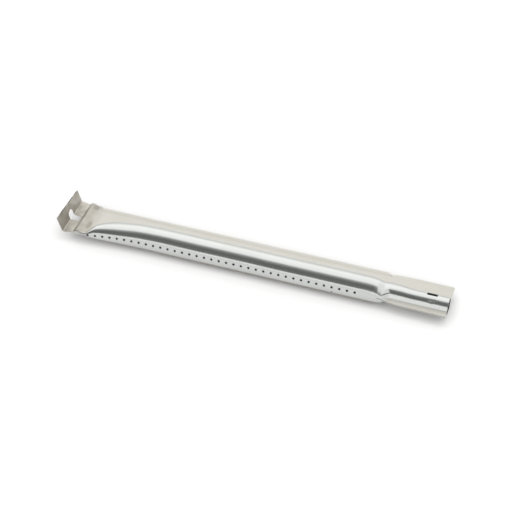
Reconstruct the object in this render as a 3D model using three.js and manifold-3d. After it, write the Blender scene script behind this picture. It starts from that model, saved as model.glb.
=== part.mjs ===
// Stamped stainless steel tube burner for a gas grill.
//
// x runs from the hanger lip to the gas inlet, y from the row of ports to the seam flange, z up.
// While it is being formed, y = 0 is the front of the tube and z = 0 the parting plane of the two
// pressings. At the end the whole burner is moved so that its origin lies below the middle of its
// box, at the height of its lowest point.

import * as THREE from 'three';
import { mergeVertices } from 'three/addons/utils/BufferGeometryUtils.js';
import Module from 'manifold-3d';

const wasm = await Module();
wasm.setup();

// ---- Driving dimensions, in millimetres and degrees ----

const SHEET = 0.7; // gauge of the two pressings
const STRAP = 0.9; // gauge of the hanger bracket
const GAP = 0.3; // clearance between touching sheets

const TUBE_RADIUS = 12.7; // a one inch tube
const NECK_RADIUS = 8.3;
const AXIS_Y = TUBE_RADIUS;
const NECK_AXIS_Y = 13.8; // the neck lies nearer the flange than the tube does

const SHELL_START = 14.2; // flattened end of the pressings
const SHEETS_MEET_X = 25; // beyond the bracket's tongue, where the flattened sheets close up
const FLARE_START = 26; // where the flattened end begins to open
const FLARE_END = 92; // where its front edge has reached the front of the tube
const TAIL_FRONT_Y = -3.8; // front edge of the flattened end
const NECK_START = 311; // where the tube begins to narrow
const NOTCH_X = 328.7; // where the hem ends and the neck's flange begins
const NECK_WEB_START = 325.5;
const NECK_WEB_END = 334;
const INLET_X = 389.2;

const FLANGE_EDGE_Y = 38.6; // edge of the plain flange inside the hem
const NECK_EDGE_Y = 39.2;
const TAIL_EDGE_Y = 40.3;
const FLANGE_TOP = GAP / 2 + SHEET; // height of the flange's upper face over the parting plane
const TAIL_TOP = STRAP / 2 + GAP + SHEET; // the same where the bracket lies between the sheets
const FOOT_FILLET = 1.5; // between the tube and the flange
const WEB_FILLET = 0.5; // between the neck and its front web
const WALL_ANGLE = 31; // draft of the neck's front, in degrees up from the front

const HEM_START = 29;
const HEM_WIDTH = 4.1;

const SEAM_OFFSET = 7.5; // distance of the underside seam from the front line, along the sheet

const BEAD_HEIGHT = 2;
const BEAD_END = 24;

const PORT_COUNT = 37;
const PORT_PITCH = 7.55; // close to 0.300 inch
const PORT_FIRST_X = 29.9;
const PORT_RADIUS = 1.05;
const PILOT_X = PORT_FIRST_X + 33 * PORT_PITCH; // under the fourth port from the neck
const PILOT_DROP = 3.3; // below the front line, along the sheet
const PILOT_RADIUS = 0.7;

const WINDOW_LENGTH = 10;
const WINDOW_X = 367.5; // nearer the tail of the two ends
const BACK_WINDOW = [50, 88]; // degrees up from the back of the neck

const TAB_BEND_X = 3.8;
const TAB_FRONT_Y = -5;
const TAB_BACK_Y = 42.4;
const TAB_WAIST_X = 10.5;
const TAB_WAIST_FRONT_Y = -3.4; // where the tab meets the pressings
const TAB_WAIST_BACK_Y = 40.2;
const TONGUE_FRONT_Y = -1.8; // the tongue between the pressings
const TONGUE_BACK_Y = 37;
const TONGUE_END_X = 24.6;
const BEND_RADIUS = 1; // inside of the bend
const LIP_LEAN = 16.5; // degrees that the lip leans outward
const LIP_FRONT_HEIGHT = 15.2; // over the tab
const LIP_BACK_HEIGHT = 13.7;
const KEYHOLE_RADIUS = 6;
const KEYHOLE_Y = 18.8;
const KEYHOLE_RISE = 2.4; // height of its centre up the lip
const SLOT_WIDTH = 7.4;
const SLOT_Y = 17.4;

// ---- How the section changes along the burner ----

// A smooth curve through [x, value] stations that never swings past them.
function through(stations) {
  const count = stations.length;
  const rises = stations.slice(1).map(([x, v], i) => (v - stations[i][1]) / (x - stations[i][0]));
  const slopes = stations.map((_, i) => {
    if (i === 0 || i === count - 1) return 0;
    const [before, after] = [rises[i - 1], rises[i]];
    return before * after <= 0 ? 0 : (2 * before * after) / (before + after);
  });
  return (x) => {
    if (x <= stations[0][0]) return stations[0][1];
    if (x >= stations[count - 1][0]) return stations[count - 1][1];
    const i = stations.findIndex(([at]) => at > x) - 1;
    const span = stations[i + 1][0] - stations[i][0];
    const t = (x - stations[i][0]) / span;
    const start = (1 + 2 * t) * (1 - t) ** 2 * stations[i][1] + t * (1 - t) ** 2 * span * slopes[i];
    const end = t * t * (3 - 2 * t) * stations[i + 1][1] + t * t * (t - 1) * span * slopes[i + 1];
    return start + end;
  };
}

const riseAt = through([
  [FLARE_START, TAIL_TOP],
  [28.5, 2.7],
  [32, 5],
  [36, 7.1],
  [44, 8.7],
  [53, 9.8],
  [65, 10.8],
  [80, 11.9],
  [112, TUBE_RADIUS],
  [NECK_START, TUBE_RADIUS],
  [317, 12.4],
  [322, 11.5],
  [325, 10.2],
  [328.5, 8.9],
  [332, 8.65],
  [342, 8.6],
  [354, NECK_RADIUS],
]);

const axisAt = through([
  [FLARE_START, TAIL_FRONT_Y + TAIL_TOP],
  [31, 1.3],
  [36, 4.7],
  [44, 7.4],
  [53, 9.5],
  [65, 11.1],
  [80, 12.3],
  [95, AXIS_Y],
  [NECK_START, AXIS_Y],
  [322, 13.1],
  [328, 13.9],
  [334, 14.5],
  [342, 14.4],
  [356, NECK_AXIS_Y],
]);

// Half the width at the back, pinched in before the neck and let out again.
const backAt = through([
  [NECK_START, TUBE_RADIUS],
  [315.6, 12.2],
  [322.6, 9.9],
  [325, 9.6],
  [328, 10.1],
  [332, 10.7],
  [337, 10.5],
  [343.5, 9.8],
  [351, 8.6],
  [356, NECK_RADIUS],
]);

// Where the front of the tube and then the neck's front web reach to.
const frontAt = through([
  [FLARE_START, TAIL_FRONT_Y],
  [37.5, -2.8],
  [45, -2.25],
  [52.5, -1.75],
  [60, -1.25],
  [75, -0.5],
  [FLARE_END, 0],
  [316, 0],
  [325, 0.4],
  [329, 0.6],
  [337, -1.1],
  [345, -1.5],
  [365, -1.8],
  [INLET_X, -2.5],
]);

// Height of the row of ports over the front line, along the sheet.
const portRiseAt = through([
  [FLARE_START, 0.4],
  [37.5, 1.1],
  [45, 1.72],
  [52.5, 2.25],
  [62, 2.62],
  [80, 2.77],
]);

const edgeAt = through([
  [SHEETS_MEET_X, TAIL_EDGE_Y],
  [HEM_START, FLANGE_EDGE_Y],
  [NOTCH_X - 4.2, FLANGE_EDGE_Y],
  [NOTCH_X - 2.2, FLANGE_EDGE_Y - 0.6],
  [NOTCH_X, FLANGE_EDGE_Y - 2.3],
  [NOTCH_X + 0.8, FLANGE_EDGE_Y - 1],
  [NOTCH_X + 4.5, FLANGE_EDGE_Y - 0.3],
  [NOTCH_X + 12, NECK_EDGE_Y],
]);

const flangeTopAt = through([
  [SHEETS_MEET_X, TAIL_TOP],
  [HEM_START, FLANGE_TOP],
]);

const webAt = through([
  [NECK_WEB_START, 0],
  [NECK_WEB_END, 1],
]);

function beadAt(x) {
  if (x <= SHELL_START || x >= BEAD_END) return 0;
  return BEAD_HEIGHT * Math.sin((Math.PI * (x - SHELL_START)) / (BEAD_END - SHELL_START)) ** 2;
}

// Half of the section at x, as [y, z] points from the front line to the edge of the flange, with the
// index of the point at the end of each feature.
function halfSection(x) {
  const rise = riseAt(x);
  const axis = axisAt(x);
  const front = frontAt(x);
  const top = flangeTopAt(x);
  const web = webAt(x);
  const foot = Math.asin(Math.min(1, (top + FOOT_FILLET) / (rise + FOOT_FILLET)));
  const filletY = (rise + FOOT_FILLET) * Math.cos(foot);
  const frontStretch = (axis - front) / rise;
  const backStretch = x < NECK_START ? frontStretch : backAt(x) / rise;
  const wall = THREE.MathUtils.degToRad(WALL_ANGLE);
  const neck = neckFront(axis, rise, front, top, wall);
  const points = [];

  // The front: round on the tube, and a fold, a flat web, a fillet and a straight wall on the neck.
  neck.forEach(([flatY, flatZ], i) => {
    const round = (foot * i) / (neck.length - 1);
    points.push([
      THREE.MathUtils.lerp(axis - rise * Math.cos(round) * frontStretch, flatY, web),
      THREE.MathUtils.lerp(rise * Math.sin(round), flatZ, web),
    ]);
  });
  const frontEnd = points.length - 1;

  const arcSteps = 30;
  const arcStart = THREE.MathUtils.lerp(foot, wall, web);
  for (let i = 1; i <= arcSteps; i += 1) {
    const angle = THREE.MathUtils.lerp(arcStart, Math.PI - foot, i / arcSteps);
    const stretch = angle < Math.PI / 2 ? THREE.MathUtils.lerp(frontStretch, 1, web) : backStretch;
    points.push([axis - rise * Math.cos(angle) * stretch, rise * Math.sin(angle)]);
  }
  const arcEnd = points.length - 1;

  const filletSteps = 8;
  for (let i = 1; i <= filletSteps; i += 1) {
    const angle = THREE.MathUtils.lerp(Math.PI + foot, 1.5 * Math.PI, i / filletSteps);
    points.push([
      axis + (filletY + FOOT_FILLET * Math.cos(angle)) * backStretch,
      top + FOOT_FILLET + FOOT_FILLET * Math.sin(angle),
    ]);
  }
  const filletEnd = points.length - 1;
  points.push([edgeAt(x), top]);
  return { points, frontEnd, arcEnd, filletEnd };
}

// Steps along the neck's front: the fold, the web, the fillet and the wall.
const FRONT_STEPS = [4, 4, 3, 3];
const FOLD_END = FRONT_STEPS[0];
const WEB_END = FOLD_END + FRONT_STEPS[1];
const WALL_START = WEB_END + FRONT_STEPS[2];

function neckFront(axis, rise, front, top, wall) {
  // The wall is tangent to the round crown, and the fillet to the wall and the web.
  const crown = [axis - rise * Math.cos(wall), rise * Math.sin(wall)];
  const filletTop = top + WEB_FILLET * (1 - Math.sin(wall));
  const wallLength = (crown[1] - filletTop) / Math.cos(wall);
  const wallFoot = [crown[0] - wallLength * Math.sin(wall), filletTop];
  const centre = [wallFoot[0] - WEB_FILLET * Math.cos(wall), top + WEB_FILLET];
  const [fold, flat, fillet, straight] = FRONT_STEPS;
  const points = [];
  for (let i = 0; i <= fold; i += 1) {
    const angle = (i / fold) * (Math.PI / 2);
    points.push([front + top - top * Math.cos(angle), top * Math.sin(angle)]);
  }
  for (let i = 1; i <= flat; i += 1) {
    points.push([THREE.MathUtils.lerp(front + top, centre[0], i / flat), top]);
  }
  for (let i = 1; i <= fillet; i += 1) {
    const angle = THREE.MathUtils.lerp(-Math.PI / 2, -wall, i / fillet);
    points.push([
      centre[0] + WEB_FILLET * Math.cos(angle),
      centre[1] + WEB_FILLET * Math.sin(angle),
    ]);
  }
  for (let i = 1; i <= straight; i += 1) {
    points.push([
      THREE.MathUtils.lerp(wallFoot[0], crown[0], i / straight),
      THREE.MathUtils.lerp(wallFoot[1], crown[1], i / straight),
    ]);
  }
  return points;
}

// The whole outer outline at x, measured along the sheet: negative below the front line, positive
// above it.
function outlineAt(x) {
  const half = halfSection(x);
  const lift = 1 + beadAt(x) / flangeTopAt(x);
  const upper = half.points.map(([y, z]) => [y, z * lift]);
  const lower = half.points.slice(1).map(([y, z]) => [y, -z]).reverse();
  const points = [...lower, ...upper];
  const frontIndex = lower.length;

  const lengths = [0];
  for (let i = 1; i < points.length; i += 1) {
    const [before, after] = [points[i - 1], points[i]];
    lengths.push(lengths[i - 1] + Math.hypot(after[0] - before[0], after[1] - before[1]));
  }
  const stations = lengths.map((length) => length - lengths[frontIndex]);
  const normals = points.map((_, i) => {
    const before = points[Math.max(0, i - 1)];
    const after = points[Math.min(points.length - 1, i + 1)];
    const [dy, dz] = [after[0] - before[0], after[1] - before[1]];
    const size = Math.hypot(dy, dz);
    return [-dz / size, dy / size];
  });

  const at = (s) => {
    const next = stations.findIndex((station) => station >= s - 1e-9);
    const i = Math.max(1, next < 0 ? stations.length - 1 : next);
    const span = stations[i] - stations[i - 1];
    const t = THREE.MathUtils.clamp((s - stations[i - 1]) / span, 0, 1);
    const mix = (list, axis) => THREE.MathUtils.lerp(list[i - 1][axis], list[i][axis], t);
    return { y: mix(points, 0), z: mix(points, 1), ny: mix(normals, 0), nz: mix(normals, 1) };
  };
  const upperKey = (index) => stations[frontIndex + index];
  const lowerKey = (index) => -stations[frontIndex - index];
  return { at, half, upperKey, lowerKey, last: half.points.length - 1 };
}

// Positions that split each [from, to, steps] stretch evenly, in order.
function ruler(stretches) {
  const marks = [stretches[0][0]];
  for (const [from, to, steps] of stretches) {
    for (let i = 1; i <= steps; i += 1) marks.push(THREE.MathUtils.lerp(from, to, i / steps));
  }
  return marks;
}

function upperMarks({ half, upperKey, last }) {
  return ruler([
    [-(SEAM_OFFSET - GAP / 2), -upperKey(FOLD_END), 3],
    [-upperKey(FOLD_END), 0, 2],
    [0, upperKey(FOLD_END), 2],
    [upperKey(FOLD_END), upperKey(WEB_END), 2],
    [upperKey(WEB_END), upperKey(WALL_START), 1],
    [upperKey(WALL_START), upperKey(half.frontEnd), 1],
    [upperKey(half.frontEnd), upperKey(half.arcEnd), 10],
    [upperKey(half.arcEnd), upperKey(half.filletEnd), 2],
    [upperKey(half.filletEnd), upperKey(last), 1],
  ]);
}

function lowerMarks({ half, lowerKey, last }) {
  const seam = SEAM_OFFSET + GAP / 2;
  const arcEnd = Math.max(lowerKey(half.arcEnd), seam + 6);
  const filletEnd = Math.max(lowerKey(half.filletEnd), arcEnd + 1.5);
  return ruler([
    [-lowerKey(last), -filletEnd, 1],
    [-filletEnd, -arcEnd, 2],
    [-arcEnd, -seam, 11],
  ]);
}

// Cross-sections are close together where the shape changes, and far apart on the straight tube.
const STATIONS = [
  SHELL_START, 15.8, 17.4, 19.1, 20.8, 22.4, BEAD_END, SHEETS_MEET_X, 27, HEM_START, 31, 33, 36, 40, 45, 51,
  58, 66, 78, FLARE_END, 112, NECK_START, 314, 317, 320, 322.5, 324.5, 326.5, NOTCH_X, NOTCH_X + 0.8, 331,
  333.2, 336, 340, 345, 350, 356, INLET_X,
];

// ---- Solids ----

function toManifold(geometry) {
  const bare = geometry.clone();
  bare.deleteAttribute('normal');
  bare.deleteAttribute('uv');
  const merged = mergeVertices(bare, 1e-5);
  const mesh = new wasm.Mesh({
    numProp: 3,
    vertProperties: new Float32Array(merged.attributes.position.array),
    triVerts: new Uint32Array(merged.index.array),
  });
  mesh.merge();
  return new wasm.Manifold(mesh);
}

function toGeometry(solid) {
  const mesh = solid.getMesh();
  const geometry = new THREE.BufferGeometry();
  geometry.setAttribute('position', new THREE.BufferAttribute(mesh.vertProperties, 3));
  geometry.setIndex(new THREE.BufferAttribute(mesh.triVerts, 1));
  geometry.computeVertexNormals();
  return geometry;
}

// A sheet formed from a flat blank: a box with a cell for each pair of stations and marks, bent so
// that each of its rows follows the section there.
function formedSheet(marksAt) {
  const sections = STATIONS.map((x) => {
    const outline = outlineAt(x);
    return marksAt(outline).map((mark) => outline.at(mark));
  });
  const columns = STATIONS.length - 1;
  const rows = sections[0].length - 1;
  const blank = new THREE.BoxGeometry(1, 1, 1, columns, rows, 1);
  const position = blank.attributes.position;
  for (let i = 0; i < position.count; i += 1) {
    const column = Math.round((position.getX(i) + 0.5) * columns);
    const row = Math.round((position.getY(i) + 0.5) * rows);
    const inset = (0.5 - position.getZ(i)) * SHEET;
    const { y, z, ny, nz } = sections[column][row];
    position.setXYZ(i, STATIONS[column], y - ny * inset, z - nz * inset);
  }
  return toManifold(blank);
}

function block(from, to) {
  const size = to.map((value, i) => value - from[i]);
  const geometry = new THREE.BoxGeometry(...size);
  geometry.translate(...from.map((value, i) => value + size[i] / 2));
  return toManifold(geometry);
}

// ---- Sub-parts ----

function punch(solid, x, height, radius, sides) {
  const { y, z, ny, nz } = outlineAt(x).at(height);
  const length = 6;
  const geometry = new THREE.CylinderGeometry(radius, radius, length, sides);
  geometry.rotateX(Math.PI / 2);
  geometry.rotateX(Math.atan2(-ny, nz));
  geometry.translate(x, y, z);
  return solid.subtract(toManifold(geometry));
}

// A window through the back of the neck, between two angles measured up from the horizontal.
function neckWindow([low, high]) {
  const middle = THREE.MathUtils.degToRad((low + high) / 2);
  const width = 2 * NECK_RADIUS * Math.sin(THREE.MathUtils.degToRad((high - low) / 2));
  const depth = 4;
  const geometry = new THREE.BoxGeometry(WINDOW_LENGTH, depth, width);
  geometry.translate(0, NECK_RADIUS, 0);
  geometry.rotateX(middle);
  geometry.translate(WINDOW_X + WINDOW_LENGTH / 2, NECK_AXIS_Y, 0);
  return toManifold(geometry);
}

function upperShell() {
  let solid = formedSheet(upperMarks);
  for (let i = 0; i < PORT_COUNT; i += 1) {
    const x = PORT_FIRST_X + i * PORT_PITCH;
    solid = punch(solid, x, portRiseAt(x), PORT_RADIUS, 8);
  }
  solid = punch(solid, PILOT_X, -PILOT_DROP, PILOT_RADIUS, 6);
  return solid.subtract(neckWindow(BACK_WINDOW));
}

// The edge of the lower sheet, folded up round the edge of the upper one and back over it.
function hem() {
  const radius = (2 * FLANGE_TOP + GAP + SHEET) / 2;
  const middleZ = radius - FLANGE_TOP;
  const returnY = FLANGE_EDGE_Y + radius - HEM_WIDTH;
  const rootY = FLANGE_EDGE_Y - 2; // overlaps the formed sheet, to join it
  const shape = new THREE.Shape();
  shape.moveTo(rootY, -FLANGE_TOP);
  shape.lineTo(FLANGE_EDGE_Y, -FLANGE_TOP);
  shape.absarc(FLANGE_EDGE_Y, middleZ, radius, -Math.PI / 2, Math.PI / 2, false);
  shape.lineTo(returnY, middleZ + radius);
  shape.lineTo(returnY, middleZ + radius - SHEET);
  shape.lineTo(FLANGE_EDGE_Y, middleZ + radius - SHEET);
  shape.absarc(FLANGE_EDGE_Y, middleZ, radius - SHEET, Math.PI / 2, -Math.PI / 2, true);
  shape.lineTo(rootY, SHEET - FLANGE_TOP);
  const length = NOTCH_X - HEM_START;
  const geometry = new THREE.ExtrudeGeometry(shape, { depth: length, bevelEnabled: false, curveSegments: 6 });
  // The shape's own x and y become the burner's y and z, and the extrusion runs along x.
  geometry.applyMatrix4(new THREE.Matrix4().makeBasis(
    new THREE.Vector3(0, 1, 0),
    new THREE.Vector3(0, 0, 1),
    new THREE.Vector3(1, 0, 0),
  ));
  geometry.translate(HEM_START, 0, 0);
  return toManifold(geometry);
}

function lowerShell() {
  return formedSheet(lowerMarks).add(hem());
}

// The strap seen from the side: the lip, the bend and the flat tab with its tongue.
function strapProfile() {
  const half = STRAP / 2;
  const turn = THREE.MathUtils.degToRad(90 - LIP_LEAN);
  const centre = [TAB_BEND_X + BEND_RADIUS, half + BEND_RADIUS];
  const lipLength = LIP_FRONT_HEIGHT / Math.cos(THREE.MathUtils.degToRad(LIP_LEAN));
  const up = [-Math.sin(THREE.MathUtils.degToRad(LIP_LEAN)), Math.cos(THREE.MathUtils.degToRad(LIP_LEAN))];
  const shape = new THREE.Shape();
  const inner = BEND_RADIUS;
  const outer = BEND_RADIUS + STRAP;
  const bendEnd = -Math.PI / 2 - turn;
  const rimAt = (radius) => [centre[0] + radius * Math.cos(bendEnd), centre[1] + radius * Math.sin(bendEnd)];
  const [outerRim, innerRim] = [rimAt(outer), rimAt(inner)];
  shape.moveTo(TONGUE_END_X, half);
  shape.lineTo(centre[0], half);
  shape.absarc(centre[0], centre[1], inner, -Math.PI / 2, bendEnd, true);
  shape.lineTo(innerRim[0] + up[0] * lipLength, innerRim[1] + up[1] * lipLength);
  shape.lineTo(outerRim[0] + up[0] * lipLength, outerRim[1] + up[1] * lipLength);
  shape.lineTo(outerRim[0], outerRim[1]);
  shape.absarc(centre[0], centre[1], outer, bendEnd, -Math.PI / 2, false);
  shape.lineTo(TONGUE_END_X, -half);
  const width = TAB_BACK_Y - TAB_FRONT_Y;
  const geometry = new THREE.ExtrudeGeometry(shape, { depth: width, bevelEnabled: false, curveSegments: 5 });
  // The shape's own x and y become x and z, and the extrusion runs towards the front.
  geometry.applyMatrix4(new THREE.Matrix4().makeBasis(
    new THREE.Vector3(1, 0, 0),
    new THREE.Vector3(0, 0, 1),
    new THREE.Vector3(0, -1, 0),
  ));
  geometry.translate(0, TAB_BACK_Y, 0);
  return toManifold(geometry);
}

// The strap seen from above: full width at the bend, a waist at the pressings, then the tongue.
function strapPlan() {
  const tabEnd = SHELL_START - GAP;
  const beyond = -10; // clear of the lip
  const shape = new THREE.Shape();
  shape.moveTo(beyond, TAB_FRONT_Y);
  shape.lineTo(TAB_BEND_X, TAB_FRONT_Y);
  shape.lineTo(TAB_WAIST_X, TAB_WAIST_FRONT_Y);
  shape.lineTo(tabEnd, TAB_WAIST_FRONT_Y);
  shape.lineTo(tabEnd, TONGUE_FRONT_Y);
  shape.lineTo(TONGUE_END_X, TONGUE_FRONT_Y);
  shape.lineTo(TONGUE_END_X, TONGUE_BACK_Y);
  shape.lineTo(tabEnd, TONGUE_BACK_Y);
  shape.lineTo(tabEnd, TAB_WAIST_BACK_Y);
  shape.lineTo(TAB_WAIST_X, TAB_WAIST_BACK_Y);
  shape.lineTo(TAB_BEND_X, TAB_BACK_Y);
  shape.lineTo(beyond, TAB_BACK_Y);
  const geometry = new THREE.ExtrudeGeometry(shape, { depth: 40, bevelEnabled: false });
  geometry.translate(0, 0, -10);
  return toManifold(geometry);
}

// The lip seen from the end: its top edge falls towards the back.
function lipOutline() {
  const top = STRAP / 2 + LIP_FRONT_HEIGHT;
  const shape = new THREE.Shape();
  shape.moveTo(TAB_FRONT_Y, -10);
  shape.lineTo(TAB_BACK_Y, -10);
  shape.lineTo(TAB_BACK_Y, top + LIP_BACK_HEIGHT - LIP_FRONT_HEIGHT);
  shape.lineTo(TAB_FRONT_Y, top);
  const geometry = new THREE.ExtrudeGeometry(shape, { depth: 60, bevelEnabled: false });
  geometry.applyMatrix4(new THREE.Matrix4().makeBasis(
    new THREE.Vector3(0, 1, 0),
    new THREE.Vector3(0, 0, 1),
    new THREE.Vector3(1, 0, 0),
  ));
  geometry.translate(-20, 0, 0);
  return toManifold(geometry);
}

function hangerBracket() {
  const round = new THREE.CylinderGeometry(KEYHOLE_RADIUS, KEYHOLE_RADIUS, 20, 24);
  round.rotateZ(Math.PI / 2);
  round.translate(0, KEYHOLE_Y, KEYHOLE_RISE);
  const slotFrom = [TAB_BEND_X - 3, SLOT_Y - SLOT_WIDTH / 2, -2];
  const slotTo = [SHELL_START - GAP + 0.1, SLOT_Y + SLOT_WIDTH / 2, 3];
  return strapProfile()
    .intersect(strapPlan())
    .intersect(lipOutline())
    .subtract(toManifold(round))
    .subtract(block(slotFrom, slotTo));
}

// ---- The burner ----

function steel(color, roughness) {
  return new THREE.MeshStandardMaterial({ color, roughness, metalness: 1 });
}

function part(name, solid, material) {
  const mesh = new THREE.Mesh(toGeometry(solid), material);
  mesh.name = name;
  return mesh;
}

const burner = new THREE.Group();
burner.add(
  part('upper_shell', upperShell(), steel(0xc9c6bf, 0.3)),
  part('lower_shell', lowerShell(), steel(0xc2bfb8, 0.32)),
  part('hanger_bracket', hangerBracket(), steel(0xb9b3aa, 0.4)),
);

const box = new THREE.Box3().setFromObject(burner);
burner.position.set(-(box.min.x + box.max.x) / 2, -(box.min.y + box.max.y) / 2, -box.min.z);

export default burner;
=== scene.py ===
"""Looks for the stamped stainless steel tube burner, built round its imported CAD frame.

The sheets are formed here in the same way as the pressings: each is a flat blank whose points are
given by x along the burner and s along the section, in millimetres. The forming frame has y = 0 at
the front of the tube and z = 0 at the parting plane; SHIFT moves it into the row frame.
"""
import math

import bpy
import numpy as np
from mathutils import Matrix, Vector, geometry, noise


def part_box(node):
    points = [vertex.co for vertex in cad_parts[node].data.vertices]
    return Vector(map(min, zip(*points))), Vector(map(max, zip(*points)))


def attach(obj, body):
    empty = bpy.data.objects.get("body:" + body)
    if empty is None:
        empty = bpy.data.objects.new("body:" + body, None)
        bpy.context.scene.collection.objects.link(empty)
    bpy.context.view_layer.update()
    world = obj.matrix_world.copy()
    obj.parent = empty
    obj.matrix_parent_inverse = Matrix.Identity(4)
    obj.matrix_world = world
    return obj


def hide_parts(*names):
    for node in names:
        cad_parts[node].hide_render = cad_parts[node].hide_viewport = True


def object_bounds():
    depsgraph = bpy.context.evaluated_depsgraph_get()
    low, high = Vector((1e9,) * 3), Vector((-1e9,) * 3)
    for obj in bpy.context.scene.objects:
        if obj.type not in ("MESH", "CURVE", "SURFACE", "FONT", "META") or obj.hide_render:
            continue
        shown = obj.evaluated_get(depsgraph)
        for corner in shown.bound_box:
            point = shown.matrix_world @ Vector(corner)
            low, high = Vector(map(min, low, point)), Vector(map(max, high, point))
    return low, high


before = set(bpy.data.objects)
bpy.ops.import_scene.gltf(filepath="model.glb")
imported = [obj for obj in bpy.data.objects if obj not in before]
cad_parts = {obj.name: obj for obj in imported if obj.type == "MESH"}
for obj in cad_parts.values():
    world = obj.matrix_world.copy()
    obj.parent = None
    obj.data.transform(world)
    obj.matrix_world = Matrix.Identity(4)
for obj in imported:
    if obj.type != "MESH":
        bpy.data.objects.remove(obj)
cad_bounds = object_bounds()

MM = 0.001

# ---- Driving dimensions in millimetres ----

SHEET = 0.7  # gauge of the two pressings
STRAP = 0.9  # gauge of the hanger bracket
GAP = 0.3  # clearance between touching sheets

TUBE_RADIUS = 12.7
NECK_RADIUS = 8.3
AXIS_Y = TUBE_RADIUS
NECK_AXIS_Y = 13.8

SHELL_START = 14.2
SHEETS_MEET_X = 25.0
FLARE_START = 26.0
FLARE_END = 92.0
TAIL_FRONT_Y = -3.8
NECK_START = 311.0  # where the tube begins to narrow
NOTCH_X = 328.7  # where the hem ends
NECK_WEB_START = 325.5
NECK_WEB_END = 334.0
INLET_X = 389.2

FLANGE_EDGE_Y = 38.6
NECK_EDGE_Y = 39.2
TAIL_EDGE_Y = 40.3
FLANGE_TOP = GAP / 2 + SHEET
TAIL_TOP = STRAP / 2 + GAP + SHEET
FOOT_FILLET = 1.5
WEB_FILLET = 0.5
WALL_ANGLE = math.radians(31)  # draft of the neck's front

HEM_START = 29.0
HEM_WIDTH = 4.1
HEM_THICK = 0.36  # the folded-over strip is pressed thin,
HEM_SLOPE = 0.1  # and thinner towards its free edge

SEAM_OFFSET = 7.5  # distance of the underside seam from the front line, along the sheet

BEAD_HEIGHT = 2.0
BEAD_END = 24.0

PORT_COUNT = 37
PORT_PITCH = 7.55
PORT_FIRST_X = 29.9
PORT_RADIUS = 1.18
PILOT_RADIUS = 0.7

WINDOW_X = 367.5
WINDOW_LENGTH = 10.0

TAB_BEND_X = 3.8
TAB_FRONT_Y = -5.0
TAB_WAIST_FRONT_Y = -3.4  # where the tab meets the pressings
TAB_WAIST_BACK_Y = 40.6
TONGUE_FRONT_Y = -1.8  # the tongue between the pressings
TONGUE_BACK_Y = 37.0
BEND_RADIUS = 1.0
LIP_LEAN = 16.5  # degrees that the lip leans outward
LIP_FRONT_TOP = 15.6
LIP_BACK_TOP = 14.1
TONGUE_END_X = 24.6

TAB_BACK_Y = 42.4

# The row frame puts the inlet at the box's +X end, the tab's corner at its +Y side and the tab's
# underside at the bracket's lowest point.
bracket_low, bracket_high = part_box("hanger_bracket")
SHIFT = np.array([
    cad_bounds[1].x / MM - INLET_X,
    bracket_high.y / MM - TAB_BACK_Y,
    bracket_low.z / MM + STRAP / 2,
])


# ---- How the section changes along the burner ----

def smooth(x, low, high):
    t = np.clip((x - low) / (high - low), 0, 1)
    return t * t * (3 - 2 * t)


def through(*stations):
    """A smooth curve through (x, value) stations that never swings past them."""
    xs = np.array([s[0] for s in stations], float)
    vs = np.array([s[1] for s in stations], float)
    rises = np.diff(vs) / np.diff(xs)
    slopes = np.zeros(len(xs))
    for i in range(1, len(xs) - 1):
        before, after = rises[i - 1], rises[i]
        if before * after > 0:
            slopes[i] = 2 * before * after / (before + after)

    def value(x):
        if x <= xs[0]:
            return vs[0]
        if x >= xs[-1]:
            return vs[-1]
        i = int(np.searchsorted(xs, x, side="right")) - 1
        span = xs[i + 1] - xs[i]
        t = (x - xs[i]) / span
        start = (1 + 2 * t) * (1 - t) ** 2 * vs[i] + t * (1 - t) ** 2 * span * slopes[i]
        end = t * t * (3 - 2 * t) * vs[i + 1] + t * t * (t - 1) * span * slopes[i + 1]
        return start + end

    return value


rise_at = through(
    (FLARE_START, TAIL_TOP), (28.5, 2.7), (32, 5), (36, 7.1), (44, 8.7), (53, 9.8), (65, 10.8),
    (80, 11.9), (112, TUBE_RADIUS), (NECK_START, TUBE_RADIUS), (317, 12.4), (322, 11.5),
    (325, 10.2), (328.5, 8.9), (332, 8.65), (342, 8.6), (354, NECK_RADIUS),
)
axis_at = through(
    (FLARE_START, TAIL_FRONT_Y + TAIL_TOP), (31, 1.3), (36, 4.7), (44, 7.4), (53, 9.5),
    (65, 11.1), (80, 12.3), (95, AXIS_Y), (NECK_START, AXIS_Y), (322, 13.1), (328, 13.9),
    (334, 14.5), (342, 14.4), (356, NECK_AXIS_Y),
)
# Half the width at the back: pinched in before the neck, then let out again.
back_at = through(
    (NECK_START, TUBE_RADIUS), (315.6, 12.2), (322.6, 9.9), (325, 9.6), (328, 10.1), (332, 10.7),
    (337, 10.5), (343.5, 9.8), (351, 8.6), (356, NECK_RADIUS),
)
front_at = through(
    (FLARE_START, TAIL_FRONT_Y), (37.5, -2.8), (45, -2.25), (52.5, -1.75), (60, -1.25), (75, -0.5),
    (FLARE_END, 0), (316, 0), (325, 0.4), (329, 0.6), (337, -1.1), (345, -1.5), (365, -1.8),
    (INLET_X, -2.5),
)
port_s = through((FLARE_START, 0.4), (37.5, 1.1), (45, 1.72), (52.5, 2.25), (62, 2.62), (80, 2.77))
edge_at = through(
    (SHEETS_MEET_X + 2.5, TAIL_EDGE_Y), (HEM_START, FLANGE_EDGE_Y),
    (NOTCH_X - 4.2, FLANGE_EDGE_Y), (NOTCH_X - 2.2, FLANGE_EDGE_Y - 0.6),
    (NOTCH_X, FLANGE_EDGE_Y - 2.3), (NOTCH_X + 0.8, FLANGE_EDGE_Y - 1),
    (NOTCH_X + 4.5, FLANGE_EDGE_Y - 0.3), (NOTCH_X + 12, NECK_EDGE_Y),
)
flange_top_at = through((SHEETS_MEET_X, TAIL_TOP), (HEM_START, FLANGE_TOP))
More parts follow.
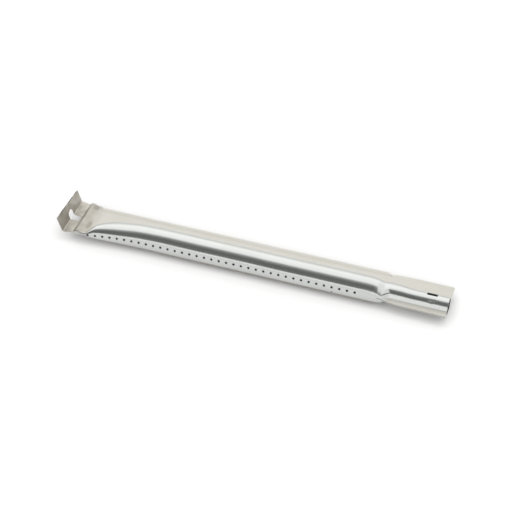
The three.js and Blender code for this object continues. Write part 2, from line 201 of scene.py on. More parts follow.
web_at = through((NECK_WEB_START, 0), (NECK_WEB_END, 1))


def bead_at(x):
    if not SHELL_START < x < BEAD_END:
        return 0.0
    along = ((x - SHELL_START) / (BEAD_END - SHELL_START)) ** 0.75
    return BEAD_HEIGHT * math.sin(math.pi * along) ** 2


ARC_STEPS, FILLET_STEPS = 180, 16
FOLD_STEPS, WEB_STEPS, CORNER_STEPS, WALL_STEPS = 12, 12, 8, 16
WEB_END_STEP = FOLD_STEPS + WEB_STEPS
WALL_STEP = WEB_END_STEP + CORNER_STEPS
FRONT_STEPS = WALL_STEP + WALL_STEPS


def neck_front(axis, rise, front, top):
    """The neck's front: a quarter fold, a flat web, a fillet and a straight wall up to the crown."""
    crown = np.array([axis - rise * math.cos(WALL_ANGLE), rise * math.sin(WALL_ANGLE)])
    foot_z = top + WEB_FILLET * (1 - math.sin(WALL_ANGLE))
    wall_length = (crown[1] - foot_z) / math.cos(WALL_ANGLE)
    foot = np.array([crown[0] - wall_length * math.sin(WALL_ANGLE), foot_z])
    centre_y = foot[0] - WEB_FILLET * math.cos(WALL_ANGLE)
    turn = np.linspace(0, math.pi / 2, FOLD_STEPS + 1)
    along = np.linspace(0, 1, WEB_STEPS + 1)[1:]
    angle = np.linspace(-math.pi / 2, -WALL_ANGLE, CORNER_STEPS + 1)[1:]
    up = np.linspace(0, 1, WALL_STEPS + 1)[1:]
    y = np.concatenate([
        front + top - top * np.cos(turn),
        front + top + (centre_y - front - top) * along,
        centre_y + WEB_FILLET * np.cos(angle),
        foot[0] + (crown[0] - foot[0]) * up,
    ])
    z = np.concatenate([
        top * np.sin(turn),
        np.full(WEB_STEPS, top),
        top + WEB_FILLET + WEB_FILLET * np.sin(angle),
        foot[1] + (crown[1] - foot[1]) * up,
    ])
    return y, z


class Section:
    """The outer outline at x: s is the length along it from the front line, positive above."""

    def __init__(self, x):
        self.x = x
        rise, axis, front, top, web = (
            rise_at(x), axis_at(x), front_at(x), flange_top_at(x), web_at(x))
        foot = math.asin(min(1, (top + FOOT_FILLET) / (rise + FOOT_FILLET)))
        fillet_y = (rise + FOOT_FILLET) * math.cos(foot)
        front_stretch = (axis - front) / rise
        back_stretch = front_stretch if x < NECK_START else back_at(x) / rise

        t = np.linspace(0, 1, FRONT_STEPS + 1)
        flat_y, flat_z = neck_front(axis, rise, front, top)
        y = (1 - web) * (axis - rise * np.cos(foot * t) * front_stretch) + web * flat_y
        z = (1 - web) * rise * np.sin(foot * t) + web * flat_z

        start = foot + (WALL_ANGLE - foot) * web
        angle = np.linspace(start, math.pi - foot, ARC_STEPS + 1)[1:]
        stretch = np.where(angle < math.pi / 2, front_stretch + (1 - front_stretch) * web, back_stretch)
        y = np.append(y, axis - rise * np.cos(angle) * stretch)
        z = np.append(z, rise * np.sin(angle))

        turn = np.linspace(math.pi + foot, 1.5 * math.pi, FILLET_STEPS + 1)[1:]
        y = np.append(y, axis + (fillet_y + FOOT_FILLET * np.cos(turn)) * back_stretch)
        z = np.append(z, top + FOOT_FILLET + FOOT_FILLET * np.sin(turn))

        self.edge_y = edge_at(x)
        y = np.append(y, self.edge_y)
        z = np.append(z, top)
        self.top = top
        self.angles = angle

        step = np.hypot(np.diff(y), np.diff(z))
        length = np.append(0, np.cumsum(step))
        self.arc_s = length[FRONT_STEPS + 1:FRONT_STEPS + 1 + ARC_STEPS]
        self.front_end = length[FRONT_STEPS]
        self.arc_end = length[FRONT_STEPS + ARC_STEPS]
        self.fillet_end = length[FRONT_STEPS + ARC_STEPS + FILLET_STEPS]
        self.last = length[-1]
        self.web_end = length[WEB_END_STEP]
        self.wall_start = length[WALL_STEP]
        lift = 1 + bead_at(x) / top
        self.up = (length, y, z * lift)
        self.down = (length, y, -z)

    def s_at(self, degrees):
        """Length to an angle measured up from the front, on the round part."""
        return float(np.interp(math.radians(degrees), self.angles, self.arc_s))

    def dullness(self, s):
        """The flats keep the mill's dull finish, and the drawn tube is brighter."""
        s = abs(s)
        flange = float(smooth(s, self.arc_end - 1.5, self.fillet_end + 1))
        web = web_at(self.x) * (1 - float(smooth(s, self.web_end - 0.4, self.web_end + 0.8)))
        return max(flange, web)

    def upper(self, s):
        s = np.asarray(s, float)
        length, y, z = self.up
        _, low_y, low_z = self.down
        return (
            np.where(s >= 0, np.interp(s, length, y), np.interp(-s, length, low_y)),
            np.where(s >= 0, np.interp(s, length, z), np.interp(-s, length, low_z)),
        )

    def lower(self, s):
        """Here s is positive below the parting plane, and runs on round the hem past the edge."""
        s = np.asarray(s, float)
        length, y, z = self.down
        radius = HEM_RADIUS
        past = s - self.last
        turn = np.clip(past / (math.pi * radius), 0, 1) * math.pi
        back = np.maximum(past - math.pi * radius, 0)
        hem_y = self.edge_y + radius * np.sin(turn) - back
        hem_z = -self.top + radius * (1 - np.cos(turn)) - HEM_SLOPE * back
        return (
            np.where(past > 0, hem_y, np.interp(s, length, y)),
            np.where(past > 0, hem_z, np.interp(s, length, z)),
        )


HEM_TOP = 1.24  # height of the hem's folded-over strip beside the fold
HEM_RADIUS = (FLANGE_TOP + HEM_TOP) / 2
_sections = {}


def section(x):
    key = round(float(x), 5)
    if key not in _sections:
        _sections[key] = Section(key)
    return _sections[key]


# ---- Blanks: points in (x, s) and the faces between them ----

def ruler(*stretches):
    marks = [stretches[0][0]]
    for start, end, steps in stretches:
        marks += [start + (end - start) * i / steps for i in range(1, steps + 1)]
    return marks


class Blank:
    """A grid of columns along x and rows along s, in which cells can be punched out."""

    def __init__(self, columns, marks_at):
        self.columns = columns
        self.marks = [marks_at(section(x)) for x in columns]
        self.rows = len(self.marks[0])
        self.points = [(x, s) for x, marks in zip(columns, self.marks) for s in marks]
        self.cut = set()
        self.extra = []

    def index(self, column, row):
        return column * self.rows + row

    def remove(self, c0, c1, r0, r1):
        self.cut.update((c, r) for c in range(c0, c1) for r in range(r0, r1))

    def punch(self, c0, c1, r0, r1, radius):
        """Replaces a block of cells with rings of cells round a hole in its middle."""
        self.remove(c0, c1, r0, r1)
        rim = (
            [(c, r0) for c in range(c0, c1)] + [(c1, r) for r in range(r0, r1)]
            + [(c, r1) for c in range(c1, c0, -1)] + [(c0, r) for r in range(r1, r0, -1)]
        )
        outer = [self.index(c, r) for c, r in rim]
        across, up = c1 - c0, r1 - r0
        middle = np.mean([self.points[self.index(c, r)] for c in (c0, c1) for r in (r0, r1)], axis=0)
        start = -math.pi / 2 - math.pi * across / len(rim)
        previous = None
        for size, share in ((1, 0), (1.22, 0), (1.5, 0.12), (0, 0.55), (0, 1)):
            ring = []
            for k, index in enumerate(outer):
                if share == 1:
                    ring.append(index)
                    continue
                angle = start + 2 * math.pi * k / len(rim)
                turn = np.array([math.cos(angle), math.sin(angle)]) * radius
                near = middle + turn * (size or 1.5)
                ring.append(len(self.points))
                self.points.append(tuple(near * (1 - share) + np.array(self.points[index]) * share))
            if previous:
                count = len(ring)
                for k in range(count):
                    n = (k + 1) % count
                    self.extra.append((previous[k], ring[k], ring[n], previous[n]))
            previous = ring

    def faces(self):
        found = [
            (self.index(c, r), self.index(c + 1, r), self.index(c + 1, r + 1), self.index(c, r + 1))
            for c in range(len(self.columns) - 1) for r in range(self.rows - 1)
            if (c, r) not in self.cut
        ]
        return found + self.extra


# ---- Turning a formed surface into a closed sheet with eased edges ----

def vertex_normals(points, faces):
    normals = np.zeros_like(points)
    quads = np.array([f if len(f) == 4 else (*f, f[2]) for f in faces])
    a, b, c, d = (points[quads[:, i]] for i in range(4))
    cross = np.cross(c - a, d - b)
    tri = quads[:, 2] == quads[:, 3]
    cross[tri] = np.cross(b[tri] - a[tri], c[tri] - a[tri])
    for i in range(4):
        np.add.at(normals, quads[:, i], cross)
    return normals / np.maximum(np.linalg.norm(normals, axis=1), 1e-12)[:, None]


def sheet_object(name, points, faces, thickness, matte, browning_and_shade, ease=0.12):
    """A closed sheet: points is its outer surface, and the faces turn anticlockwise from outside.

    thickness, matte and the darkening are numbers for each point: how dull the surface is there and how
    far it is darkened (brown colour in some places, painted shade in others), from 0 to 1.
    """
    used = sorted({i for f in faces for i in f})
    renumber = {old: new for new, old in enumerate(used)}
    points = np.asarray(points, float)[used]
    thickness = np.asarray(thickness, float)[used]
    looks = {"matte": np.asarray(matte, float)[used], "browning_and_shade": np.asarray(browning_and_shade, float)[used]}
    ease = np.minimum(ease, 0.4 * thickness)
    faces = [tuple(renumber[i] for i in f) for f in faces]
    normals = vertex_normals(points, faces)

    edges = {}
    for f in faces:
        for a, b in zip(f, f[1:] + f[:1]):
            edges[(a, b)] = edges.get((a, b), 0) + 1
    border = [(a, b) for a, b in edges if (b, a) not in edges]
    outward = np.zeros_like(points)
    for a, b in border:
        for i in (a, b):
            out = np.cross(points[b] - points[a], normals[i])
            outward[i] += out / max(np.linalg.norm(out), 1e-12)
    rim = sorted({i for e in border for i in e})
    lengths = np.linalg.norm(outward[rim], axis=1)
    outward[rim] = outward[rim] / np.maximum(lengths, 1e-9)[:, None] * np.minimum(
        2 / np.maximum(lengths, 1e-9), 1.45)[:, None]

    count = len(points)
    outer = points - outward * ease[:, None]
    inner = outer - normals * thickness[:, None]
    bank = [outer, inner]
    bank_normals = [normals, -normals]
    place = {i: k for k, i in enumerate(rim)}
    profile = [(0.29, 0.29, (1, 1)), (0, 1, (1, 0)), (0, -1, (1, 0)), (0.29, -0.29, (1, -1))]
    for pull, depth, (side, face) in profile:
        deep = (depth * ease if depth > 0 else thickness + depth * ease)[rim][:, None]
        bank.append(points[rim] - outward[rim] * pull * ease[rim][:, None] - normals[rim] * deep)
        mixed = outward[rim] * side + normals[rim] * face
        bank_normals.append(mixed / np.linalg.norm(mixed, axis=1)[:, None])
    vertices = np.concatenate(bank)
    shading = np.concatenate(bank_normals)

    def level(i, k):
        if k == 0:
            return i
        if k == 5:
            return count + i
        return 2 * count + (k - 1) * len(rim) + place[i]

    solid = list(faces) + [tuple(count + i for i in reversed(f)) for f in faces]
    for a, b in border:
        for k in range(5):
            solid.append((level(b, k), level(a, k), level(a, k + 1), level(b, k + 1)))
    obj = mesh_object(name, vertices, solid, shading)
    for look, values in looks.items():
        spread = np.concatenate([values, values] + [values[rim]] * len(profile))
        attribute = obj.data.attributes.new(look, "FLOAT", "POINT")
        attribute.data.foreach_set("value", spread.astype(np.float32))
    return obj


def mesh_object(name, vertices, faces, shading):
    mesh = bpy.data.meshes.new(name)
    placed = (np.asarray(vertices) + SHIFT) * MM
    mesh.from_pydata(placed.tolist(), [], faces)
    mesh.polygons.foreach_set("use_smooth", [True] * len(mesh.polygons))
    mesh.validate()
    mesh.normals_split_custom_set_from_vertices(shading.tolist())
    obj = bpy.data.objects.new(name, mesh)
    bpy.context.scene.collection.objects.link(obj)
    return obj


def noise3(point, size, seed):
    """Smooth noise from -1 to 1, with features of that size in millimetres."""
    return noise.noise(Vector((point[0] / size + seed, point[1] / size, point[2] / size)))


def handled(points):
    """The slight unevenness of thin pressed sheet. Neighbouring sheets move together."""
    moved = np.array(points, float)
    for i, p in enumerate(moved):
        near_floor = float(smooth(p[2], -TUBE_RADIUS + 1, -TUBE_RADIUS + 7))
        wave = 0.16 * noise3(p, 46, 3.1) + 0.05 * noise3(p, 17, 8.7)
        side = 0.14 * noise3(p, 60, 21.4) + 0.05 * noise3(p, 20, 5.9)
        moved[i] = (p[0], p[1] + side * near_floor, p[2] + wave * near_floor)
    return moved


def on_floor(points):
    """Keeps the belly of the tube at the CAD model's lowest height."""
    points = np.array(points, float)
    below = points[:, 2] < 0
    points[below, 2] *= SHIFT[2] / TUBE_RADIUS
    return points


# ---- Upper pressing ----

CELL = 6  # columns across each port's cell
FIRST_CELL_X = PORT_FIRST_X - PORT_PITCH / 2
LAST_CELL_X = FIRST_CELL_X + PORT_COUNT * PORT_PITCH

TAIL_COLUMNS = ruler((SHELL_START, FIRST_CELL_X, 18))
CELL_COLUMNS = ruler((FIRST_CELL_X, LAST_CELL_X, PORT_COUNT * CELL))
NECK_COLUMNS = ruler(
    (LAST_CELL_X, 318, 14), (318, NOTCH_X, 24), (NOTCH_X, 340, 26), (340, WINDOW_X, 20),
    (WINDOW_X, WINDOW_X + WINDOW_LENGTH, 20), (WINDOW_X + WINDOW_LENGTH, INLET_X, 12),
)
UPPER_COLUMNS = TAIL_COLUMNS + CELL_COLUMNS[1:] + NECK_COLUMNS[1:]

# Rows between one feature of the section and the next, from the seam to the flange's edge.
UPPER_ROWS = [8, 6, 4, 6, 3, 6, 8, 9, 10, 4, 8]
PORT_ROWS = (8, 14)
BACK_WINDOW_ROWS = (41, 50)


def upper_marks(sec):
    x = sec.x
    seam = -(SEAM_OFFSET - GAP / 2)
    low, high = port_s(x) - 2, port_s(x) + 2
    tube = [low, high, high + 1.1, high + 2.2, sec.s_at(36), sec.s_at(58), sec.s_at(92),
            sec.s_at(130), sec.arc_end, sec.fillet_end, sec.last]
    neck = [-1.35, 1.35, sec.web_end, sec.wall_start, sec.front_end, *tube[5:]]
    cumulative = np.cumsum(UPPER_ROWS[2:])
    tail = [low, high, *(high + (sec.last - high) * cumulative / cumulative[-1])]
    in_neck = float(smooth(x, NECK_START, NECK_WEB_START + 2))
    in_tube = float(smooth(x, 30, 70))
    keys = [
        (1 - in_tube) * a + in_tube * ((1 - in_neck) * b + in_neck * c)
        for a, b, c in zip(tail, tube, neck)
    ]
    keys = [seam] + keys
    return ruler(*[(keys[i], keys[i + 1], UPPER_ROWS[i]) for i in range(len(UPPER_ROWS))])


# A tick-shaped groove on the front of the neck, by the inlet: (x, degrees up from the front).
TICK = [(370.2, 46), (373.9, 42), (376.4, 58)]
TICK_DEPTH = 0.42
DIMPLES = [(23, 36.5, 2.2, 3, 0.45), (25.6, 10.5, 2, 6, 0.5)]  # x, y, half sizes, depth
CRUMPLE = ((327, 0, 0.5), (2.8, 4.5, 5))  # middle and half sizes, where the tube's front ends


def gap_to(x, s, path):
    """Distance from a point of the blank to a path across it."""
    best = 1e9
    for (ax, a_s), (bx, b_s) in zip(path, path[1:]):
        dx, ds = bx - ax, b_s - a_s
        t = min(1, max(0, ((x - ax) * dx + (s - a_s) * ds) / (dx * dx + ds * ds)))
        best = min(best, math.hypot(x - ax - t * dx, s - a_s - t * ds))
    return best


def dented(sec, s, y, z):
    """The small marks: dimples beside the bead, crumples at the neck's shoulder, the pressed tick."""
    x = sec.x
    if x < 34 and z > 0:
        for at_x, at_y, half_x, half_y, depth in DIMPLES:
            z -= depth * math.exp(-((x - at_x) / half_x) ** 2 - ((y - at_y) / half_y) ** 2)
    if s < sec.arc_end:
        middle, half = CRUMPLE
        share = math.exp(-sum(((p - m) / h) ** 2 for p, m, h in zip((x, y, z), middle, half)))
        y += 0.5 * share * noise3((x, y, z), 2.6, 4.2)
        z += 0.35 * share * noise3((x, y, z), 2.1, 9.6)
    if WINDOW_X < x < WINDOW_X + WINDOW_LENGTH:
        path = [(px, section(px).s_at(degrees)) for px, degrees in TICK]
        depth = TICK_DEPTH * math.exp(-(gap_to(x, s, path) / 0.45) ** 2)
        angle = float(np.interp(s, sec.arc_s, sec.angles))
        y += depth * math.cos(angle)
        z -= depth * math.sin(angle)
    return y, z


def browning_and_dimple_shade(x, y, z):
    """The flattened end is brown and smudged, and the dimples are painted darker still, as painted
    shade.
    """
    if z < 0:
        return 0.0
    end = 1 - float(smooth(x, 20, 36))
    # The spots are painted shade in the dimples; the end and the cloud are the sheet's brown colour.
    spots = sum(
        math.exp(-((x - at_x) / half_x) ** 2 - ((y - at_y) / half_y) ** 2)
        for at_x, at_y, half_x, half_y, _ in DIMPLES)
    cloud = 0.5 + 0.5 * noise3((x, y, z), 5, 12.3)
    return min(1, end * (0.3 + 0.5 * cloud) + 0.9 * spots)


def nearest(values, target):
    return min(range(len(values)), key=lambda i: abs(values[i] - target))


def upper_shell():
    blank = Blank(UPPER_COLUMNS, upper_marks)
    first = len(TAIL_COLUMNS) - 1
    for i in range(PORT_COUNT):
        c = first + i * CELL
        blank.punch(c, c + CELL, *PORT_ROWS, PORT_RADIUS)
    pilot = first + (PORT_COUNT - 4) * CELL
    blank.punch(pilot, pilot + CELL, 2, 6, PILOT_RADIUS)
    c0 = nearest(UPPER_COLUMNS, WINDOW_X)
    c1 = nearest(UPPER_COLUMNS, WINDOW_X + WINDOW_LENGTH)
    blank.remove(c0, c1, *BACK_WINDOW_ROWS)
    points, matte, browning_and_shade = [], [], []
    for x, s in blank.points:
        sec = section(x)
        y, z = sec.upper(s)
        y, z = dented(sec, s, float(y), float(z))
        points.append((x, y, z))
        matte.append(sec.dullness(s))
        # The crease along the flange is painted darker, as painted shade, and the foot of the front
        # wall is painted darker to imitate the thin dark line in the photograph: a painted reflection
        # of the shaded floor under the tube. The crease along the flange is dulled, and the foot of
        # the front wall is darkened to imitate the thin dark line in the photograph, whose cause
        # isn't known.
        from_crease = s - 0.5 * (sec.arc_end + sec.fillet_end)
        crease_shade = 0.4 * math.exp(-(from_crease / 0.9) ** 2) * float(smooth(x, 50, 90))
        foot = float(smooth(-s, 3.6, 4.8))
        browning_and_shade.append(max(browning_and_dimple_shade(x, y, z), crease_shade, foot))
    # From outside, x runs to the right and s upwards, so faces turn anticlockwise.
    return sheet_object(
        "upper_pressing", handled(on_floor(points)), blank.faces(), [SHEET] * len(points), matte, browning_and_shade)


# ---- Lower pressing with its hem ----

LOWER_COLUMNS = ruler(
    (SHELL_START, 24, 10), (24, HEM_START, 8), (HEM_START, 60, 26), (60, 112, 26),
    (112, 300, 62), (300, 318, 12), (318, NOTCH_X, 14), (NOTCH_X, 340, 20), (340, INLET_X, 24),
)
HEM_TURN_ROWS, HEM_FLAT_ROWS = 10, 3
LOWER_ROWS = [26, 4, 5, HEM_TURN_ROWS, HEM_FLAT_ROWS]


def lower_marks(sec):
    seam = SEAM_OFFSET + GAP / 2
    arc_end = max(sec.arc_end, seam + 6)
    fillet_end = max(sec.fillet_end, arc_end + 1.5)
    turn_end = sec.last + math.pi * HEM_RADIUS
    back = sec.edge_y - FLANGE_EDGE_Y + HEM_WIDTH - HEM_RADIUS
    keys = [seam, arc_end, fillet_end, sec.last, turn_end, turn_end + max(back, 0.6)]
    return ruler(*[(keys[i], keys[i + 1], LOWER_ROWS[i]) for i in range(len(LOWER_ROWS))])


def lower_shell():
    blank = Blank(LOWER_COLUMNS, lower_marks)
    plain = sum(LOWER_ROWS[:3])
    rows = sum(LOWER_ROWS)
    start = nearest(LOWER_COLUMNS, HEM_START)
    end = nearest(LOWER_COLUMNS, NOTCH_X)
    blank.remove(0, start, plain, rows)
    blank.remove(end, len(LOWER_COLUMNS), plain, rows)
    points, matte, thickness = [], [], []
    for x, s in blank.points:
        sec = section(x)
        y, z = sec.lower(s)
        points.append((x, float(y), float(z)))
        matte.append(sec.dullness(s))
        turned = float(np.clip((s - sec.last) / (math.pi * HEM_RADIUS), 0, 1))
        back = max(s - sec.last - math.pi * HEM_RADIUS, 0)
        thickness.append(SHEET + (HEM_THICK - SHEET) * turned - HEM_SLOPE * back)
    # Here s runs downwards from the front, so the faces turn the other way.
    faces = [tuple(reversed(f)) for f in blank.faces()]
    # The lower pressing is painted darker along the seam at the front: painted shade that carries on
    # the dark foot line of the front wall, a painted reflection of the shaded floor under the tube.
    browning_and_shade = [1 - float(smooth(s, 9, 14)) for _, s in blank.points]
    return sheet_object("lower_pressing", handled(on_floor(points)), faces, thickness, matte, browning_and_shade)


# ---- Hanger bracket ----

MID_RADIUS = BEND_RADIUS + STRAP / 2
BEND_X = TAB_BEND_X + BEND_RADIUS  # where the flat tab ends
BEND_TURN = math.radians(90 - LIP_LEAN)
TAB_LENGTH = TONGUE_END_X - BEND_X
BEND_LENGTH = MID_RADIUS * BEND_TURN
LEAN = math.radians(LIP_LEAN)


def strap_place(u, y):
    """A point of the strap's middle surface: u runs from the tongue's end and round up the lip."""
    if u <= TAB_LENGTH:
        return (TONGUE_END_X - u, y, 0.0)
    turn = min((u - TAB_LENGTH) / MID_RADIUS, BEND_TURN)
    x = BEND_X - MID_RADIUS * math.sin(turn)
    z = MID_RADIUS * (1 - math.cos(turn))
    rest = max(u - TAB_LENGTH - BEND_LENGTH, 0)
    return (x - rest * math.sin(LEAN), y, z + rest * math.cos(LEAN))


def lip_u(height):
    """u at that height up the lip."""
    base = MID_RADIUS * (1 - math.cos(BEND_TURN))
    return TAB_LENGTH + BEND_LENGTH + (height - base) / math.cos(LEAN)


def x_u(x):
    return TONGUE_END_X - x


def dense(loop, step):
    """The loop with points added so that no side is longer than step."""
    result = []
    for (au, ay), (bu, by) in zip(loop, loop[1:] + loop[:1]):
        count = max(1, math.ceil(math.hypot(bu - au, by - ay) / step))
        result += [(au + (bu - au) * i / count, ay + (by - ay) * i / count) for i in range(count)]
    return result


def rounded(loop, radii, steps=5):
    """The loop with each corner rounded by its own radius."""
    result = []
    count = len(loop)
    for i, (corner, radius) in enumerate(zip(loop, radii)):
        p = np.array(corner, float)
        a, b = np.array(loop[i - 1], float), np.array(loop[(i + 1) % count], float)
        if radius <= 0:
            result.append(tuple(p))
            continue
        to_a, to_b = (a - p) / np.linalg.norm(a - p), (b - p) / np.linalg.norm(b - p)
        start, end = p + to_a * radius, p + to_b * radius
        for k in range(steps + 1):
            t = k / steps
            result.append(tuple((1 - t) ** 2 * start + 2 * t * (1 - t) * p + t * t * end))
    return result


def inside(point, loop):
    u, y = point
    odd = False
    for (au, ay), (bu, by) in zip(loop, loop[1:] + loop[:1]):
        if (ay > y) != (by > y) and u < au + (bu - au) * (y - ay) / (by - ay):
            odd = not odd
    return odd


def hanger_bracket():
    tab_end = SHELL_START - GAP
    lip_foot = TAB_LENGTH + BEND_LENGTH + 0.6
    outline = rounded(
        [
            (0, TONGUE_FRONT_Y), (x_u(tab_end), TONGUE_FRONT_Y), (x_u(tab_end), TAB_WAIST_FRONT_Y),
            (x_u(10.5), TAB_WAIST_FRONT_Y), (x_u(6.4), TAB_FRONT_Y + 0.25), (lip_foot, TAB_FRONT_Y),
            (lip_u(LIP_FRONT_TOP), TAB_FRONT_Y), (lip_u(LIP_BACK_TOP), TAB_BACK_Y),
            (lip_foot, TAB_BACK_Y), (x_u(7.5), TAB_BACK_Y - 0.3), (x_u(12), TAB_WAIST_BACK_Y + 0.4),
            (x_u(tab_end), TAB_WAIST_BACK_Y), (x_u(tab_end), TONGUE_BACK_Y), (0, TONGUE_BACK_Y),
        ],
        [0.6, 0.3, 0.3, 1.2, 1, 1, 0.7, 0.7, 1, 1, 1.2, 0.3, 0.3, 0.6],
    )
    # The keyhole is one arch cut across the bend: its slot is in the tab and its round in the lip.
    keyhole = rounded(
        [
            (x_u(13), 13.7), (x_u(8), 13.6), (lip_u(1.5), 13.5), (lip_u(4.6), 13.5), (lip_u(6.6), 14.6),
            (lip_u(7.5), 17.6), (lip_u(7.5), 20.6), (lip_u(5.6), 22.3), (lip_u(2.6), 22.6),
            (x_u(5.4), 22), (x_u(8), 21.3), (x_u(13), 21.3),
        ],
        [0.7, 1, 1, 1.2, 1, 1.1, 0.9, 1, 1, 1, 1, 0.7],
        steps=4,
    )
    outline, keyhole = dense(outline, 1.2), dense(keyhole, 0.6)
    bend = [TAB_LENGTH + BEND_LENGTH * i / 8 for i in range(9)]
    ys = np.arange(TAB_FRONT_Y, TAB_BACK_Y + 0.1, 1.2)
    up_lip = np.arange(bend[-1] + 1.1, lip_u(LIP_FRONT_TOP), 1.2)
    us = [*np.arange(0.8, TAB_LENGTH - 0.5, 1.1), *bend, *up_lip]
    grid = [(u, y) for u in us for y in ys]
    clear = 0.35
    grid = [
        p for p in grid
        if inside(p, outline) and not inside(p, keyhole)
        and min(math.hypot(p[0] - q[0], p[1] - q[1]) for q in outline + keyhole) > clear
    ]
    points = [Vector(p) for p in outline + keyhole + grid]
    n, m = len(outline), len(keyhole)
    edges = [(i, (i + 1) % n) for i in range(n)] + [(n + i, n + (i + 1) % m) for i in range(m)]
    flat, _, triangles, *_ = geometry.delaunay_2d_cdt(points, edges, [], 0, 1e-5)
    faces = []
    for tri in triangles:
        centre = sum((flat[i] for i in tri), Vector((0, 0))) / 3
        if inside(centre, outline) and not inside(centre, keyhole):
            a, b, c = (flat[i] for i in tri)
            turn = (b - a).cross(c - a)
            faces.append(tuple(tri) if turn > 0 else tuple(reversed(tri)))
    middle = np.array([strap_place(u, y) for u, y in flat])
    normals = vertex_normals(middle, faces)
    # The upper side of the tab and the inner side of the lip face the pressings.
    if normals[:, 2].sum() < 0:
        faces = [tuple(reversed(f)) for f in faces]
        normals = -normals
    surface = middle + normals * STRAP / 2
    count = len(surface)
    browning_and_shade = [0.45 + 0.55 * noise3(p, 6, 2.2) for p in surface]
    return sheet_object("hanger_strap", surface, faces, [STRAP] * count, [1.0] * count, browning_and_shade, ease=0.15)


# ---- Materials ----

# Colour of the brown flattened end, and also of the painted shade in the crease, the dimples and along
# the foot of the tube's front.
BROWN_AND_SHADE = (0.34, 0.318, 0.28)  # colour of the darkened places


def math_node(tree, operation, a, b):
    node = tree.nodes.new("ShaderNodeMath")
    node.operation = operation
    for socket, value in zip(node.inputs, (a, b)):
        if isinstance(value, (int, float)):
            socket.default_value = value
        else:
            tree.links.new(value, socket)
    return node.outputs[0]


def share_of(tree, value, low, high):
    """value's share of the way from low to high."""
    node = tree.nodes.new("ShaderNodeMapRange")
    node.inputs["From Min"].default_value = low
    node.inputs["From Max"].default_value = high
    tree.links.new(value, node.inputs["Value"])
    return node.outputs["Result"]


def stainless(name, bright, dull, bright_rough, dull_rough):
    """Mill-finished stainless sheet: a grain along x, cloudy tone and fine mottling.

    It goes from a bright drawn finish to a dull one by the mesh's own "matte" value, and from clean
    to darkened by its darkening value, which is real brown colour in some places and painted shade in
    others.
    """
    material = bpy.data.materials.new(name)
    material.use_nodes = True
    tree = material.node_tree
    nodes, links = tree.nodes, tree.links
    shader = nodes["Principled BSDF"]
    shader.inputs["Metallic"].default_value = 1.0

    coordinates = nodes.new("ShaderNodeTexCoord")

    def pattern(scale, detail, stretch=(1, 1, 1)):
        mapping = nodes.new("ShaderNodeMapping")
        mapping.inputs["Scale"].default_value = tuple(scale * k for k in stretch)
        links.new(coordinates.outputs["Object"], mapping.inputs["Vector"])
        texture = nodes.new("ShaderNodeTexNoise")
        texture.inputs["Scale"].default_value = 1.0
        texture.inputs["Detail"].default_value = detail
        links.new(mapping.outputs["Vector"], texture.inputs["Vector"])
        return texture.outputs["Fac"]

    def blend(a, b, weight_a, weight_b):
        parts = [math_node(tree, "MULTIPLY", *part) for part in ((a, weight_a), (b, weight_b))]
        return math_node(tree, "ADD", *parts)

    def mixed(a, b, factor):
        """A colour from a to b, or a number from a to b."""
        node = nodes.new("ShaderNodeMix")
        color = not isinstance(a, float)
        node.data_type = "RGBA" if color else "FLOAT"
        kind = "_Color" if color else "_Float"
        sockets = {k.identifier: k for k in node.inputs}
        for name, value in (("A" + kind, a), ("B" + kind, b)):
            if isinstance(value, bpy.types.NodeSocket):
                links.new(value, sockets[name])
            else:
                sockets[name].default_value = (*value, 1) if color else value
        links.new(factor, sockets["Factor_Float"])
        return next(o for o in node.outputs if o.identifier == "Result" + kind)

    def look(name):
        node = nodes.new("ShaderNodeAttribute")
        node.attribute_name = name
        return node.outputs["Fac"]

    clouds = pattern(45, 3, (0.5, 1, 1))
    streaks = pattern(1500, 4, (0.03, 1, 1))
    mottle = pattern(700, 3)
    tone = share_of(tree, blend(clouds, streaks, 0.6, 0.4), 0.35, 0.65)
    color = mixed(mixed(*bright, tone), mixed(*dull, tone), look("matte"))
    links.new(mixed(color, BROWN_AND_SHADE, look("browning_and_shade")), shader.inputs["Base Color"])

    wear = share_of(tree, blend(streaks, mottle, 0.5, 0.5), 0.3, 0.7)
    rough = mixed(mixed(*bright_rough, wear), mixed(*dull_rough, wear), look("matte"))
    links.new(rough, shader.inputs["Roughness"])

    bump = nodes.new("ShaderNodeBump")
    bump.inputs["Strength"].default_value = 0.35
    bump.inputs["Distance"].default_value = 0.00002
    links.new(blend(streaks, mottle, 1.0, 0.8), bump.inputs["Height"])
    links.new(bump.outputs["Normal"], shader.inputs["Normal"])
    return material


# ---- The burner ----

# Each finish is a pair of colours that the clouds and streaks run between.
DRAWN = ((0.55, 0.56, 0.55), (0.59, 0.60, 0.59))
PRESSED = ((0.525, 0.51, 0.465), (0.555, 0.54, 0.51))
STRAP_DULL = ((0.50, 0.47, 0.42), (0.57, 0.545, 0.50))
pressing = stainless("pressing_stainless", DRAWN, PRESSED, (0.16, 0.26), (0.42, 0.56))
strap = stainless("strap_stainless", DRAWN, STRAP_DULL, (0.2, 0.3), (0.4, 0.52))

for obj, node, slot, material in (
    (upper_shell(), "upper_shell", "pressing_steel", pressing),
    (lower_shell(), "lower_shell", "pressing_steel", pressing),
    (hanger_bracket(), "hanger_bracket", "bracket_steel", strap),
):
    obj.data.materials.append(material)
    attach(obj, "root")
    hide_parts(node)


# ---- Studio ----

FLOOR_REACH = 6.0
FLOOR_GREY = 0.41


def floor_plane():
    mesh = bpy.data.meshes.new("studio_floor")
    corners = [(x * FLOOR_REACH, y * FLOOR_REACH, 0) for x, y in ((-1, -1), (1, -1), (1, 1), (-1, 1))]
    mesh.from_pydata(corners, [], [(0, 1, 2, 3)])
    obj = bpy.data.objects.new("studio_floor", mesh)
    bpy.context.scene.collection.objects.link(obj)
    material = bpy.data.materials.new("floor_paper")
    material.use_nodes = True
    shader = material.node_tree.nodes["Principled BSDF"]
    shader.inputs["Base Color"].default_value = (FLOOR_GREY, FLOOR_GREY, FLOOR_GREY, 1)
    shader.inputs["Roughness"].default_value = 0.9
    shader.inputs["Specular IOR Level"].default_value = 0.1
    obj.data.materials.append(material)


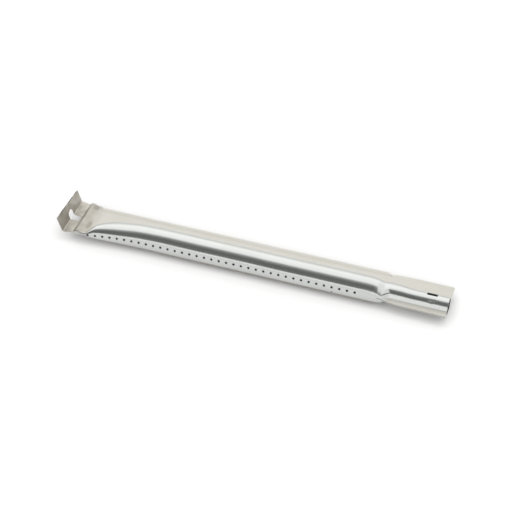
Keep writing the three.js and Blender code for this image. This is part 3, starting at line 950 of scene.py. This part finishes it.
# Brightness of the room by angle in degrees, from level in front, over the top, to level behind.
SKY = [
    (0, (1.0, 1.0, 1.0)), (12, (0.98, 0.98, 0.98)), (17, (1.5, 1.5, 1.48)), (22, (1.5, 1.5, 1.48)),
    (28, (0.185, 0.19, 0.18)), (62, (0.185, 0.19, 0.18)), (74, (0.3, 0.305, 0.295)),
    (84, (0.55, 0.55, 0.54)), (93, (1.4, 1.41, 1.39)), (120, (1.46, 1.47, 1.45)),
    (136, (1.6, 1.61, 1.58)), (150, (1.42, 1.42, 1.39)), (164, (1.1, 1.1, 1.07)),
    (180, (0.75, 0.75, 0.73)),
]
INLET_SIDE = (1.25, 1.25, 1.23)


def studio_world():
    """Soft light all round: bright overhead and behind, with a broad dark band in front."""
    world = bpy.data.worlds.new("studio")
    world.use_nodes = True
    tree = world.node_tree
    nodes, links = tree.nodes, tree.links
    coordinates = nodes.new("ShaderNodeTexCoord")
    split = nodes.new("ShaderNodeSeparateXYZ")
    links.new(coordinates.outputs["Generated"], split.inputs["Vector"])
    x, y, z = (split.outputs[axis] for axis in "XYZ")
    angle = math_node(tree, "ARCTAN2", z, math_node(tree, "MULTIPLY", y, -1))
    ramp = nodes.new("ShaderNodeValToRGB")
    links.new(share_of(tree, angle, 0, math.pi), ramp.inputs["Fac"])
    elements = ramp.color_ramp.elements
    while len(elements) < len(SKY):
        elements.new(0.5)
    for element, (degrees, color) in zip(elements, SKY):
        element.position = degrees / 180
        element.color = (*color, 1)
    # High up, the dark front doesn't reach round to the inlet's side.
    lit = nodes.new("ShaderNodeMixRGB")
    lit.inputs["Color2"].default_value = (*INLET_SIDE, 1)
    side, high = share_of(tree, x, 0.2, 0.5), share_of(tree, z, 0.45, 0.62)
    links.new(math_node(tree, "MULTIPLY", side, high), lit.inputs["Fac"])
    links.new(ramp.outputs["Color"], lit.inputs["Color1"])
    links.new(lit.outputs["Color"], nodes["Background"].inputs["Color"])
    bpy.context.scene.world = world


def broad_light(name, elevation, width, strength):
    """A very soft light from the front that lights the floor evenly and isn't seen in the metal."""
    data = bpy.data.lights.new(name, "SUN")
    data.angle = math.radians(width)
    data.energy = strength
    obj = bpy.data.objects.new(name, data)
    height = math.radians(elevation)
    direction = Vector((0, -math.cos(height), math.sin(height)))
    obj.rotation_euler = direction.to_track_quat("Z", "Y").to_euler()
    obj.visible_glossy = False
    bpy.context.scene.collection.objects.link(obj)


floor_plane()
studio_world()
broad_light("soft_front", elevation=66, width=76, strength=5.0)
broad_light("low_front", elevation=26, width=40, strength=1.6)

CAMERA_AIM = (196.54, 18.8, 3.86)  # in the forming frame
CAMERA_AZIMUTH, CAMERA_ELEVATION = math.radians(18.7), math.radians(42.5)
CAMERA_DISTANCE = 1.352
CAMERA_LENS = 98.75

toward = Vector((
    math.sin(CAMERA_AZIMUTH) * math.cos(CAMERA_ELEVATION),
    -math.cos(CAMERA_AZIMUTH) * math.cos(CAMERA_ELEVATION),
    math.sin(CAMERA_ELEVATION),
))
camera_data = bpy.data.cameras.new("camera")
camera_data.sensor_width = 36
camera_data.lens = CAMERA_LENS
camera = bpy.data.objects.new("camera", camera_data)
camera.location = Vector((SHIFT + np.array(CAMERA_AIM)) * MM) + toward * CAMERA_DISTANCE
camera.rotation_euler = toward.to_track_quat("Z", "Y").to_euler()
bpy.context.scene.collection.objects.link(camera)
bpy.context.scene.camera = camera

bpy.context.scene.view_settings.view_transform = "Standard"
bpy.context.scene.cycles.use_denoising = True
